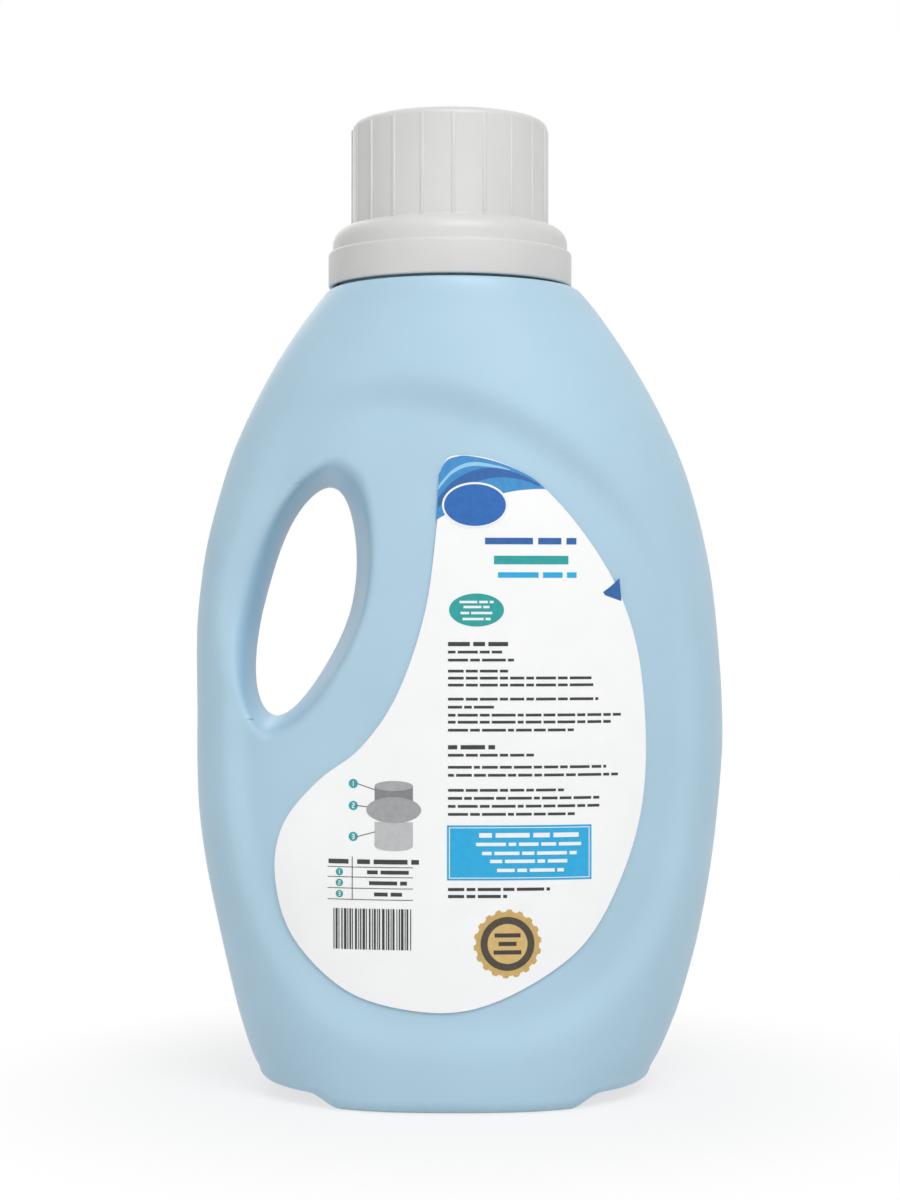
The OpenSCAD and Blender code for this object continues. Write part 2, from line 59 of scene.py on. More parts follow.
# How straight the flank is away from the handle: 0 is a quarter of an ellipse, 1 is a ramp
flank_ramp = 0.9
panel_depth, panel_band, panel_side, panel_drop = 3.6, 9.5, 8.0, 27.0
panel_bottom_z, panel_lean = 14.0, 25.0
label_w, label_h, label_mid_z, film_lift = 106.0, 157.0, 107.7, 0.65
neck_in_r, neck_r, neck_h, neck_root = 30.9, 33.0, 8.4, 0.6
insert_gap, insert_wall, flange_t, flange_lap = 0.15, 1.3, 1.4, 0.4
insert_drop, floor_fall, spout_r, spout_h, lip_slope = 20.0, 1.2, 19.6, 33.0, 14.0
drain_w, drain_h = 9.0, 13.0
cap_h, skirt_gap, skirt_r, skirt_wall, skirt_h = 49.2, 0.6, 36.4, 1.6, 9.6
shoulder_r, shoulder_h, shoulder_round, flange_wall = 35.1, 8.2, 5.2, 1.6
seal_r, grip_r, roof_t, roof_edge_r = 31.4, 29.2, 1.8, 2.4
cup_r, cup_taper, sleeve_r, sleeve_l, seat_gap = 27.3, 0.3, 28.6, 25.5, 0.1
fill_count, fill_step, fill_h = 3, 14.0, 0.3
rib_count, rib_w, rib_h, rib_turn = 20, 1.1, 0.35, 2.0

half_w, half_d = body_w / 2, body_d / 2
hole_top_z = shoulder_z - hole_drop
hole_bottom_z = hole_top_z - hole_h
hole_wide_z = hole_top_z - hole_upper_share * hole_h
panel_top_z = shoulder_z - panel_drop
panel_mid_z = (panel_top_z + panel_bottom_z) / 2
panel_half_h = (panel_top_z - panel_bottom_z) / 2
panel_half_w = half_w - panel_side
neck_top_z = shoulder_z + neck_h
flange_top_z = neck_top_z + flange_t
skirt_z = shoulder_z + skirt_gap
cap_top_z = skirt_z + cap_h
flange_step_z = skirt_z + skirt_h
flange_end_z = flange_step_z + shoulder_h
seat_z = flange_top_z + seat_gap
mouth_z = flange_top_z - sleeve_l
cup_floor_z = cap_top_z - roof_t

# Edges of the body: height as a share of the shoulder's, then a share of half the width
left_edge = [
    (0.000, 0.735), (0.030, 0.780), (0.069, 0.817), (0.138, 0.869), (0.214, 0.921),
    (0.283, 0.963), (0.345, 0.989), (0.410, 0.998), (0.470, 0.998), (0.565, 1.000),
    (0.614, 0.990), (0.680, 0.961), (0.755, 0.902), (0.801, 0.855), (0.857, 0.778),
    (0.909, 0.692), (0.952, 0.607), (0.998, 0.499), (1.000, (collar_r - neck_x) / half_w),
]
right_edge = [
    (0.000, 0.700), (0.042, 0.764), (0.090, 0.817), (0.145, 0.869), (0.200, 0.911),
    (0.276, 0.953), (0.345, 0.979), (0.415, 0.997), (0.455, 1.000), (0.520, 0.992),
    (0.608, 0.969), (0.667, 0.942), (0.746, 0.883), (0.806, 0.817), (0.879, 0.706),
    (0.946, 0.578), (0.998, 0.453), (1.000, (collar_r + neck_x) / half_w),
]
depth_edge = [
    (0.000, 0.975), (0.120, 1.000), (0.500, 1.000), (0.680, 0.985), (0.800, 0.940),
    (0.900, 0.883), (0.960, 0.843), (0.998, 0.814), (1.000, collar_r / half_d),
]
section_power = [(0.0, 2.25), (0.3, 2.40), (0.7, 2.30), (0.9, 2.08), (1.0, 2.00)]
grip_taper = [(0.0, 0.0), (0.25, 0.04), (0.45, 0.24), (0.75, 0.26), (0.9, 0.08), (1.0, 0.0)]

# Outline of a label: shares of half its width and half its height, from the top
label_outline = [
    (0.01, 1.00), (0.215, 0.975), (0.455, 0.88), (0.70, 0.687), (0.877, 0.474),
    (0.977, 0.219), (1.00, -0.149), (0.919, -0.437), (0.717, -0.721), (0.451, -0.879),
    (0.087, -0.991), (-0.249, -1.00), (-0.615, -0.93), (-0.904, -0.743), (-1.00, -0.522),
    (-0.951, -0.335), (-0.76, -0.177), (-0.53, -0.055), (-0.334, 0.139),
    (-0.185, 0.438), (-0.12, 0.766), (-0.09, 0.963),
]
label_heart = (0.109, -0.242)


# The body's surface

def lerp(a, b, t):
    return a + (b - a) * t


def clamp(v, low, high):
    return min(max(v, low), high)


def smooth(t):
    u = clamp(t, 0.0, 1.0)
    return u * u * (3 - 2 * u)


def ease(a, b, t):
    """From a to b in steps that are fine at both ends."""
    return lerp(a, b, (1 - math.cos(math.pi * t)) / 2)


def soft_min(a, b, r):
    h = max(r - abs(a - b), 0.0)
    return min(a, b) - h * h / (4 * r)


def curve(knots, s):
    """A smooth curve through the knots, at place s."""
    i = 0
    while i < len(knots) - 2 and s >= knots[i + 1][0]:
        i += 1

    def slope(k):
        a, b = knots[max(k - 1, 0)], knots[min(k + 1, len(knots) - 1)]
        return (b[1] - a[1]) / (b[0] - a[0])

    (s0, v0), (s1, v1) = knots[i], knots[i + 1]
    h = s1 - s0
    t = (s - s0) / h
    return (
        v0 * (1 + 2 * t) * (1 - t) ** 2 + v1 * t * t * (3 - 2 * t)
        + h * slope(i) * t * (1 - t) ** 2 - h * slope(i + 1) * t * t * (1 - t)
    )


def left_x(z):
    return -half_w * curve(left_edge, z / shoulder_z)


def right_x(z):
    return half_w * curve(right_edge, z / shoulder_z)


def hole_mid_x(z):
    t = (z - hole_bottom_z) / hole_h
    straight = lerp(left_x(hole_bottom_z) + grip_w_bottom, left_x(hole_top_z) + grip_w_top, t)
    return straight + hole_bow * math.sin(math.pi * clamp(t, 0.0, 1.0)) ** 2


def hole_rise(z, e):
    if z > hole_wide_z:
        return (z - hole_wide_z) / (hole_top_z + e - hole_wide_z)
    return ((hole_wide_z - z) / (hole_wide_z - hole_bottom_z + e)) ** 0.8


def hole_half_w(z, e):
    return (hole_w / 2 + e) * math.sqrt(max(1 - hole_rise(z, e) ** 2, 0))


def panel_recess(x, z):
    """How deep the label panel lies at a place: its edge is a leaning oval."""
    v = (z - panel_mid_z) / panel_half_h
    lean = panel_lean * v ** 2.7 if v > 0 else 0.0
    p = 2.2 if v > 0 else 2.5
    gauge = (abs((x + lean) / panel_half_w) ** p + abs(v) ** p) ** (1 / p)
    return panel_depth * smooth((1 - gauge) * panel_half_w / panel_band)


def plain_half_d(x, z, e):
    s = z / shoulder_z
    low, high = left_x(z) + e, right_x(z) - e
    t = clamp((2 * x - low - high) / (high - low), -1.0, 1.0)
    p = curve(section_power, s)
    taper = curve(grip_taper, s) * t * t if t < 0 else 0.0
    depth = half_d * curve(depth_edge, s) - e
    return depth * max(1 - abs(t) ** p, 0) ** (1 / p) * (1 - taper)


def flank_half_d(x, z, e):
    """Half depth that the finger hole's flank allows: straighter away from the handle."""
    across = (x - hole_mid_x(z)) / (hole_w / 2 + e)
    q = max(math.hypot(across, hole_rise(z, e)), 1e-6)
    n = across / q
    top = (lerp(half_d, grip_d / 2, n * n) if n < 0 else half_d) - e
    least, one_way, both_ways = flank_spread
    s = clamp((q - 1) / (least + one_way * n + both_ways * n * n), 0.0, 1.0)
    return top * lerp(math.sqrt(1 - (1 - s) ** 2), s, flank_ramp * max(n, 0.0) ** 2)


def half_depth(x, z, e=0.0):
    """Half depth of the finished body, e millimetres inside its surface."""
    plain = plain_half_d(x, z, e)
    cut = min(panel_recess(x, z), plain / 2)
    return max(soft_min(plain - cut, flank_half_d(x, z, e), min(crease_r, plain / 2 + 0.01)), 0)


# Materials

def srgb(code):
    """A linear colour from an sRGB hex code."""
    out = []
    for i in (0, 2, 4):
        v = int(code[i:i + 2], 16) / 255
        out.append(v / 12.92 if v <= 0.04045 else ((v + 0.055) / 1.055) ** 2.4)
    return (*out, 1.0)


def add(tree, kind, sets=None, links=None, **props):
    """A node with its properties, socket values and incoming links."""
    n = tree.nodes.new(kind)
    for name, value in props.items():
        setattr(n, name, value)
    for key, value in (sets or {}).items():
        n.inputs[key].default_value = value
    for key, source in (links or {}).items():
        tree.links.new(source, n.inputs[key])
    return n


def material(name, **sockets):
    """A new material: its node tree, its shader and the object's own coordinates."""
    mat = bpy.data.materials.new(name)
    mat.use_nodes = True
    tree = mat.node_tree
    shader = tree.nodes["Principled BSDF"]
    for key, value in sockets.items():
        shader.inputs[key.replace("_", " ")].default_value = value
    place = add(tree, "ShaderNodeTexCoord").outputs["Object"]
    return mat, tree, shader, place


def two_tone(tree, place, size_mm, low, high, detail=2.0, rough=0.5):
    """Cloudy change between two colours, with clouds of a real size."""
    cloud = add(tree, "ShaderNodeTexNoise", {"Scale": 1 / (size_mm * MM), "Detail": detail,
                                             "Roughness": rough}, {"Vector": place})
    ramp = add(tree, "ShaderNodeValToRGB", links={"Fac": cloud.outputs["Fac"]})
    ramp.color_ramp.elements[0].position, ramp.color_ramp.elements[1].position = 0.3, 0.7
    ramp.color_ramp.elements[0].color = srgb(low)
    ramp.color_ramp.elements[1].color = srgb(high)
    return ramp.outputs["Color"], cloud.outputs["Fac"]


def grain(tree, shader, place, coarse_mm, coarse_h, fine_mm, fine_h, rough_low, rough_high):
    """Surface of a moulded plastic: slow waves, fine grain and uneven gloss."""
    slow = add(tree, "ShaderNodeTexNoise", {"Scale": 1 / (coarse_mm * MM), "Detail": 1.0},
               {"Vector": place})
    fine = add(tree, "ShaderNodeTexNoise", {"Scale": 1 / (fine_mm * MM), "Detail": 2.0},
               {"Vector": place})
    first = add(tree, "ShaderNodeBump", {"Strength": 1.0, "Distance": coarse_h * MM},
                {"Height": slow.outputs["Fac"]})
    second = add(tree, "ShaderNodeBump", {"Strength": 1.0, "Distance": fine_h * MM},
                 {"Height": fine.outputs["Fac"], "Normal": first.outputs["Normal"]})
    tree.links.new(second.outputs["Normal"], shader.inputs["Normal"])
    gloss = add(tree, "ShaderNodeMapRange", {"To Min": rough_low, "To Max": rough_high},
                {"Value": slow.outputs["Fac"]})
    tree.links.new(gloss.outputs["Result"], shader.inputs["Roughness"])


def blown_polyethylene():
    """Blow-moulded HDPE, coloured right through: a soft satin blue with a faint
    orange-peel from the blasted mould and slow waves from the stretched wall."""
    mat, tree, shader, place = material("hdpe_blow_moulded_blue", IOR=1.53,
                                        Specular_IOR_Level=0.42)
    colour, _ = two_tone(tree, place, 38.0, "AECDDF", "B2D2E4")
    tree.links.new(colour, shader.inputs["Base Color"])
    grain(tree, shader, place, 16.0, 0.10, 0.7, 0.018, 0.36, 0.46)
    return mat


def moulded_polypropylene():
    """Injection-moulded polypropylene from a lightly eroded tool: a warm light grey
    with an even satin and faint flow clouds."""
    mat, tree, shader, place = material("polypropylene_moulded_grey", IOR=1.49)
    colour, _ = two_tone(tree, place, 17.0, "D3D3D1", "D8D8D6")
    tree.links.new(colour, shader.inputs["Base Color"])
    grain(tree, shader, place, 9.0, 0.03, 0.45, 0.010, 0.34, 0.42)
    return mat


def natural_polyethylene():
    """Uncoloured low-density polyethylene: milky, waxy and slightly see-through at
    its edges, so light bleeds a little below the surface."""
    mat, tree, shader, place = material("ldpe_moulded_natural", IOR=1.51,
                                        Subsurface_Weight=0.25, Subsurface_Scale=0.002)
    colour, _ = two_tone(tree, place, 12.0, "E6ECEE", "EDF1F2")
    tree.links.new(colour, shader.inputs["Base Color"])
    grain(tree, shader, place, 7.0, 0.03, 0.5, 0.012, 0.40, 0.50)
    return mat


def printing_ink(name, low, high):
    """Flexographic ink under the label's varnish: nearly even, with a fine mottle."""
    mat, tree, shader, place = material(f"ink_flexo_{name}", IOR=1.5, Coat_Weight=0.25,
                                        Coat_Roughness=0.18)
    colour, _ = two_tone(tree, place, 1.6, low, high)
    tree.links.new(colour, shader.inputs["Base Color"])
    grain(tree, shader, place, 11.0, 0.02, 1.3, 0.003, 0.32, 0.40)
    return mat


def label_film():
    """White cavitated polypropylene film under a clear varnish: an even white with a
    tight gloss and the faint mottle that the adhesive leaves."""
    mat, tree, shader, place = material("pp_film_white_varnished", IOR=1.49,
                                        Coat_Weight=0.25, Coat_Roughness=0.18)
    colour, _ = two_tone(tree, place, 9.0, "F9FAFA", "FCFCFC")
    tree.links.new(colour, shader.inputs["Base Color"])
    grain(tree, shader, place, 11.0, 0.02, 1.3, 0.003, 0.30, 0.36)
    return mat


# Making pieces

def new_piece(name, bm, mat, body, sharp=40.0):
    """An object from a bmesh in millimetres: welded, facing out, and riding a body."""
    bmesh.ops.remove_doubles(bm, verts=bm.verts, dist=1e-4)
    bmesh.ops.recalc_face_normals(bm, faces=bm.faces)
    bmesh.ops.scale(bm, vec=(MM, MM, MM), verts=bm.verts)
    mesh = bpy.data.meshes.new(name)
    bm.to_mesh(mesh)
    bm.free()
    for face in mesh.polygons:
        face.use_smooth = True
    mesh.set_sharp_from_angle(angle=math.radians(sharp))
    piece = bpy.data.objects.new(name, mesh)
    bpy.context.collection.objects.link(piece)
    mesh.materials.append(mat)
    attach(piece, body)
    return piece


def spun(profile, bm=None, steps=144, centre=neck_x):
    """A profile of (radius, height) points turned round the upright neck axis."""
    bm = bm or bmesh.new()
    verts = [bm.verts.new((centre + r, 0, z)) for r, z in profile]
    edges = [bm.edges.new(pair) for pair in zip(verts, verts[1:])]
    bmesh.ops.spin(bm, geom=verts + edges, cent=(centre, 0, 0), axis=(0, 0, 1), dvec=(0, 0, 0),
                   angle=2 * math.pi, steps=steps, use_merge=True)
    return bm


def arc(r_mid, z_mid, radius, start, end, steps=6):
    """Points of an arc in a profile, between two angles in degrees."""
    out = []
    for i in range(steps + 1):
        a = math.radians(lerp(start, end, i / steps))
        out.append((r_mid + radius * math.cos(a), z_mid + radius * math.sin(a)))
    return out


def screw_thread(name, root_r, rise, low_z, turns, mat, body, steps=120):
    """A screw thread: a small tooth swept up a helix on a wall, inwards for a negative rise."""
    bm = bmesh.new()
    tooth = [(0, -1.1), (rise, -0.45), (rise, 0.45), (0, 1.1)]
    verts = [bm.verts.new((neck_x + root_r + r, 0, low_z + z)) for r, z in tooth]
    face = bm.faces.new(verts)
    climb_step = 6.0 * turns / steps
    bmesh.ops.spin(bm, geom=verts + face.edges[:] + [face], cent=(neck_x, 0, 0), axis=(0, 0, 1),
                   dvec=(0, 0, climb_step), angle=2 * math.pi * turns, steps=steps,
                   use_duplicate=False)
    bmesh.ops.holes_fill(bm, edges=[e for e in bm.edges if e.is_boundary], sides=0)
    return new_piece(name, bm, mat, body, sharp=35.0)


# The blown body

def is_open(row):
    z, _, e = row
    return hole_bottom_z - e + 0.01 < z < hole_top_z + e - 0.01


def is_tip(row):
    z, _, e = row
    return abs(z - hole_top_z - e) < 0.01 or abs(z - hole_bottom_z + e) < 0.01


def hole_share(z):
    return (hole_mid_x(z) - left_x(z)) / (right_x(z) - left_x(z))


def split_x(row):
    """Where the handle's columns meet the body's columns."""
    z = min(row[0], shoulder_z)
    if is_open(row) or is_tip(row):
        return hole_mid_x(z)
    if z > hole_top_z:
        share = lerp(hole_share(hole_top_z), 0.27, (z - hole_top_z) / (shoulder_z - hole_top_z))
    else:
        share = lerp(0.27, hole_share(hole_bottom_z), max(z, 0) / hole_bottom_z)
    return lerp(left_x(z), right_x(z), share)


def heel_rise(x, z):
    mid = (left_x(0) + right_x(0)) / 2
    lift = heel_lift * smooth((abs(x - mid) - foot_reach) / foot_ramp)
    return lift * clamp(1 - z / (6 * heel_r), 0.0, 1.0)


def pushed(d, gap, reach):
    return d + gap * (1 - d / reach) ** 2 if d < reach else d


def climb(e, step, fine):
    """Heights of the rows of the wall: even steps, finer at the ends of the hole."""
    bottom, top = hole_bottom_z - e, hole_top_z + e
    near = fine
    out = []
    n = max(int((bottom - near[-1] - heel_r) / step), 2)
    out += [lerp(heel_r, bottom - near[-1] * 1.2, i / n) for i in range(n + 1)]
    out += [bottom - d for d in reversed(near)]
    m = max(int((top - bottom) / step), 8)
    out += [ease(bottom, top, i / m) for i in range(m + 1)]
    out += [top + d for d in near]
    return out


def body_rows():
    """Rows of the whole skin, from the middle of the base, up the outside, over the
    neck and down the inside: height, height at which the outline is read, inset."""
    foot = heel_r + foot_w
    deck_edge = 1.4
    rows = [(push_up, heel_r, foot + dish_w + 12), (push_up, heel_r, foot + dish_w + 5)]
    rows += [(push_up * math.sin(math.radians(a)), heel_r, foot + dish_w * a / 90)
             for a in range(90, 0, -10)]
    rows += [(0, heel_r, foot - 0.2), (0, heel_r, foot - foot_w / 2), (0, heel_r, heel_r)]
    rows += [(heel_r * (1 - math.cos(math.radians(a))), heel_r,
              heel_r * (1 - math.sin(math.radians(a)))) for a in range(15, 90, 15)]
    wall = climb(0, 2.0, (0.4, 1.0, 1.8, 2.8, 4.2, 6.0))
    last, end = wall[-1], shoulder_z - deck_edge
    n = int((end - last) / 2.0)
    wall += [lerp(last, end, i / n) for i in range(1, n)]
    rows += [(z, z, 0) for z in wall]
    for a in range(0, 91, 15):
        c, s = math.cos(math.radians(a)), math.sin(math.radians(a))
        z = end + deck_edge * s
        rows.append((z, z, deck_edge * (1 - c)))
    neck_in = collar_r - neck_r
    rows += [(shoulder_z, shoulder_z, neck_in - 0.5),
             (shoulder_z + 0.15, shoulder_z, neck_in - 0.15),
             (shoulder_z + 0.5, shoulder_z, neck_in)]
    rows += [(neck_top_z - 0.3, shoulder_z, neck_in), (neck_top_z, shoulder_z, neck_in + 0.3)]
    bore_in = collar_r - neck_in_r
    under = shoulder_z - body_wall
    rows += [(neck_top_z, shoulder_z, bore_in - 0.3), (neck_top_z - 0.3, shoulder_z, bore_in),
             (under - neck_root, shoulder_z, bore_in),
             (under - neck_root, shoulder_z, bore_in - 1.0),
             (under, shoulder_z, bore_in - 1.05)]
    inner = climb(body_wall, 6.0, (0.8, 2.5, 5.0))
    last = inner[-1]
    n = int((under - last) / 6.0)
    inner += [lerp(last, under, i / n) for i in range(1, n + 1)]
    floor_z = body_wall + 0.7 * heel_r
    rows += [(max(z, floor_z), z, body_wall) for z in reversed(inner)]
    rows += [(body_wall, heel_r, floor_z), (body_wall, heel_r, foot),
             (push_up + body_wall, heel_r, foot + dish_w),
             (push_up + body_wall, heel_r, foot + dish_w + 12)]
    return rows


def body_skin(bm, rows, columns, handle_side):
    """One part of the front half of the skin: a grid laid on the surface."""
    made = bmesh.ops.create_grid(bm, x_segments=columns, y_segments=len(rows) - 1, size=0.5)
    for v in made["verts"]:
        c = round((v.co.x + 0.5) * columns)
        row = rows[round((v.co.y + 0.5) * (len(rows) - 1))]
        z, read_z, e = row
        split = split_x(row)
        gap = hole_half_w(z, e) if is_open(row) else 0.0
        if handle_side:
            span = split - left_x(read_z) - e
            x = split - pushed(ease(span, 0, c / columns), gap, span)
            seam = c == 0 or (c == columns and (is_open(row) or is_tip(row)))
        else:
            span = right_x(read_z) - e - split
            x = split + pushed(ease(0, span, c / columns), gap, 42.0)
            seam = c == columns or (c == 0 and (is_open(row) or is_tip(row)))
        y = 0.0 if seam else -half_depth(x, read_z, e)
        v.co = (x, y, z + heel_rise(x, z))


def blown_bottle(mat):
    rows = body_rows()
    bm = bmesh.new()
    body_skin(bm, rows, 20, True)
    body_skin(bm, rows, 60, False)
    bmesh.ops.remove_doubles(bm, verts=bm.verts, dist=1e-4)
    bmesh.ops.mirror(bm, geom=bm.verts[:] + bm.edges[:] + bm.faces[:], axis="Y", merge_dist=1e-4)
    bmesh.ops.remove_doubles(bm, verts=bm.verts, dist=1e-4)
    rims = [e for e in bm.edges if e.is_boundary]
    bmesh.ops.holes_fill(bm, edges=rims, sides=0)
    piece = new_piece("blown_bottle", bm, mat, "bottle", sharp=150.0)
    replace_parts(piece, "bottle_body")
    return piece


# The measuring cap

def cap_profile():
    """The cap's section, from the middle of its roof round to the middle of the cup."""
    core_r = shoulder_r - flange_wall
    skirt_in_r = skirt_r - skirt_wall
    ring_z = flange_end_z - shoulder_round
    points = [(0, cap_top_z), (grip_r - roof_edge_r - 3, cap_top_z)]
    points += arc(grip_r - roof_edge_r, cap_top_z - roof_edge_r, roof_edge_r, 90, 0, 8)
    points += [(grip_r, flange_end_z + 0.6)]
    points += arc(grip_r + 0.6, flange_end_z + 0.6, 0.6, 180, 270, 4)
    points += arc(shoulder_r - shoulder_round, ring_z, shoulder_round, 90, 0, 10)
    points += arc(shoulder_r + 0.5, flange_step_z + 1.0, 0.5, 180, 225, 3)
    points += arc(skirt_r - 0.8, flange_step_z - 0.25, 0.8, 50, 0, 4)
    points += arc(skirt_r - 0.5, skirt_z + 0.5, 0.5, 0, -90, 4)
    points += [(skirt_in_r + 0.3, skirt_z), (skirt_in_r, skirt_z + 0.3)]
    points += [(skirt_in_r, seat_z - flange_t), (core_r, seat_z), (core_r, ring_z)]
    points += [(seal_r, ring_z + core_r - seal_r), (seal_r, seat_z)]
    points += [(sleeve_r, seat_z), (sleeve_r, mouth_z + 0.5)]
    points += arc(sleeve_r - 0.5, mouth_z + 0.5, 0.5, 0, -90, 4)
    points += arc(cup_r + 0.3, mouth_z + 0.3, 0.3, 270, 180, 3)
    for i in range(fill_count, 0, -1):
        z = cup_floor_z - i * fill_step
        r = lerp(cup_r, cup_r - cup_taper, (z - mouth_z) / (cup_floor_z - mouth_z))
        points += [(r, z), (r - fill_h, z + 0.15), (r - fill_h, z + 0.45), (r, z + 0.6)]
    points += arc(cup_r - cup_taper - 1.2, cup_floor_z - 1.2, 1.2, 0, 90, 5)
    points += [(0, cup_floor_z)]
    return points


def measuring_cap(mat):
    bm = spun(cap_profile())
    shell = new_piece("cap_shell", bm, mat, "cap", sharp=35.0)
    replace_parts(shell, "measuring_cap")
    ribs = bmesh.new()
    low, high = flange_end_z - 0.3, cap_top_z - roof_edge_r + 0.5
    for i in range(rib_count):
        before = set(ribs.verts)
        bmesh.ops.create_cube(ribs, size=1.0)
        fresh = [v for v in ribs.verts if v not in before]
        bmesh.ops.scale(ribs, vec=(rib_w + rib_h, rib_w, high - low), verts=fresh)
        bmesh.ops.translate(ribs, vec=(grip_r + (rib_h - rib_w) / 2, 0, (low + high) / 2),
                            verts=fresh)
        outer = {e for v in fresh for e in v.link_edges
                 if min(end.co.x for end in e.verts) > grip_r
                 and max(end.co.z for end in e.verts) > low + 1}
        bmesh.ops.bevel(ribs, geom=list(outer), offset=0.3, segments=3, profile=0.5,
                        affect="EDGES", material=-1)
        fresh = [v for v in ribs.verts if v not in before]
        bmesh.ops.rotate(ribs, cent=(0, 0, 0), verts=fresh,
                         matrix=Matrix.Rotation(
                             math.radians(360 * i / rib_count + rib_turn), 3, "Z"))
    bmesh.ops.translate(ribs, vec=(neck_x, 0, 0), verts=ribs.verts)
    new_piece("cap_grip_ribs", ribs, mat, "cap", sharp=60.0)
    screw_thread("cap_screw_thread", sleeve_r - 0.05, 0.32, mouth_z + 3.0, 1.35, mat, "cap")


# The pouring insert

def pouring_insert(mat):
    """Flange, wall, sloping floor and spout, with an oblique lip and a drain slot."""
    out_r = neck_in_r - insert_gap
    in_r = out_r - insert_wall
    flange_r = neck_r + flange_lap
    floor_z = shoulder_z - insert_drop
    foot_z = floor_z - floor_fall
    tube_r = spout_r - insert_wall
    lip_z = shoulder_z + spout_h
    slot_z = foot_z + drain_h
    profile = [(in_r, flange_top_z - 0.3), (in_r + 0.3, flange_top_z)]
    profile += arc(flange_r - 0.35, flange_top_z - 0.35, 0.35, 90, 0, 4)
    profile += [(flange_r, neck_top_z), (out_r + 0.1, neck_top_z), (out_r, neck_top_z - 0.1)]
    profile += arc(out_r - 0.8, floor_z - insert_wall + 0.8, 0.8, 0, -90, 5)
    profile += [(spout_r, foot_z - insert_wall), (tube_r + 0.2, foot_z - insert_wall),
                (tube_r, foot_z - insert_wall + 0.2), (tube_r, foot_z), (tube_r, slot_z),
                (tube_r, lip_z), (spout_r, lip_z), (spout_r, slot_z), (spout_r, foot_z)]
    profile += arc(in_r - 0.8, floor_z + 0.8, 0.8, 270, 360, 5)
    bm = spun(profile + profile[:1])
    bmesh.ops.remove_doubles(bm, verts=bm.verts, dist=1e-4)
    slope = math.radians(lip_slope)
    bmesh.ops.bisect_plane(
        bm, geom=bm.verts[:] + bm.edges[:] + bm.faces[:],
        plane_co=(neck_x + spout_r, 0, lip_z - 0.05),
        plane_no=(-math.sin(slope), 0, math.cos(slope)),
        clear_outer=True)
    bmesh.ops.bridge_loops(bm, edges=[e for e in bm.edges if e.is_boundary])

    def in_slot(face):
        mid = face.calc_center_median()
        x, y = mid.x - neck_x, mid.y
        return (foot_z < mid.z < slot_z and math.hypot(x, y) < spout_r + 0.1
                and abs(math.degrees(math.atan2(y, -x))) < math.degrees(drain_w / 2 / spout_r))

    bmesh.ops.delete(bm, geom=[f for f in bm.faces if in_slot(f)], context="FACES")
    bmesh.ops.bridge_loops(bm, edges=[e for e in bm.edges if e.is_boundary])
    insert = new_piece("pouring_insert", bm, mat, "bottle", sharp=35.0)
    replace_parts(insert, "pour_spout")
    screw_thread("insert_screw_thread", in_r + 0.05, -0.42, mouth_z + 9.0, 1.35, mat, "bottle")


# Labels

def through(a, b, c, d, t):
    """Place t of the way from b to c, on a smooth line through a, b, c and d."""
    return tuple(
        0.5 * (2 * q + (r - p) * t + (2 * p - 5 * q + 4 * r - s) * t * t
               + (3 * q - p - 3 * r + s) * t ** 3) for p, q, r, s in zip(a, b, c, d))


def outline_at(u):
    """Point of the closed smooth curve through the label's outline."""
    n = len(label_outline)
    i = math.floor(u)
    return through(*(label_outline[(i + k) % n] for k in (-1, 0, 1, 2)), u - i)


def line_at(points, t):
    """Point of an open smooth line through a few places, from 0 to 1."""
    n = len(points) - 1
    i = min(int(t * n), n - 1)
    return through(*(points[clamp(i + k, 0, n)] for k in (-1, 0, 1, 2)), t * n - i)


def on_label(x, z, side, lift):
    """Place on the labelled face, lift millimetres over the plastic."""
    return (x, side * half_depth(x, z, -lift), z)


def laid(name, bm, mat, side, lift, thickness):
    """A flat bmesh in the plane of a label, laid on the curved face and given its thickness."""
    bmesh.ops.remove_doubles(bm, verts=bm.verts, dist=1e-4)
    bmesh.ops.dissolve_degenerate(bm, edges=bm.edges, dist=1e-4)
    for v in bm.verts:
        v.co = on_label(v.co.x, v.co.z, side, lift)
    bm.normal_update()
    turned = [f for f in bm.faces if f.normal.y * side < 0]
    bmesh.ops.reverse_faces(bm, faces=turned)
    bmesh.ops.solidify(bm, geom=bm.faces[:], thickness=thickness)
    return new_piece(name, bm, mat, "bottle", sharp=60.0)


def film(name, side, mat):
    around, rings = 132, 22
    bm = bmesh.new()
    made = bmesh.ops.create_grid(bm, x_segments=around, y_segments=rings, size=0.5)
    for v in made["verts"]:
        edge = outline_at((v.co.x + 0.5) * len(label_outline))
        share = (v.co.y + 0.5) ** 0.8
        v.co = (lerp(label_heart[0], edge[0], share) * label_w / 2, 0,
                label_mid_z + lerp(label_heart[1], edge[1], share) * label_h / 2)
    return laid(name, bm, mat, side, film_lift, 0.2)


# Print on the labels

def art(u, v):
    """Place in the plane of a label of a point of its artwork, drawn on a grid of 0.2825 mm."""
    return (u - 450) * 0.2825 + neck_x, 0, 145.2 + (600 - v) * 0.2825


def bar(bm, u0, v0, u1, v1):
    """A printed rectangle, in cells small enough to follow the face."""
    wide, tall = (math.ceil(abs(d) * 0.2825 / 4) for d in (u1 - u0, v1 - v0))
    for v in bmesh.ops.create_grid(bm, x_segments=wide, y_segments=tall, size=0.5)["verts"]:
        v.co = art(lerp(u0, u1, v.co.x + 0.5), lerp(v1, v0, v.co.y + 0.5))


def words(bm, u0, u1, v, tall, first=0):
    """A line of small print, as plain bars of word length."""
    lengths = (5.2, 2.8, 7.4, 3.6, 8.8, 2.2, 5.8, 4.4, 6.6, 3.0)
    k, u = first, u0
    while u < u1 - tall / 2:
        end = min(u + lengths[k % len(lengths)] * tall, u1)
        bar(bm, u, v - tall / 2, end, v + tall / 2)
        u = end + 0.8 * tall
        k += 1


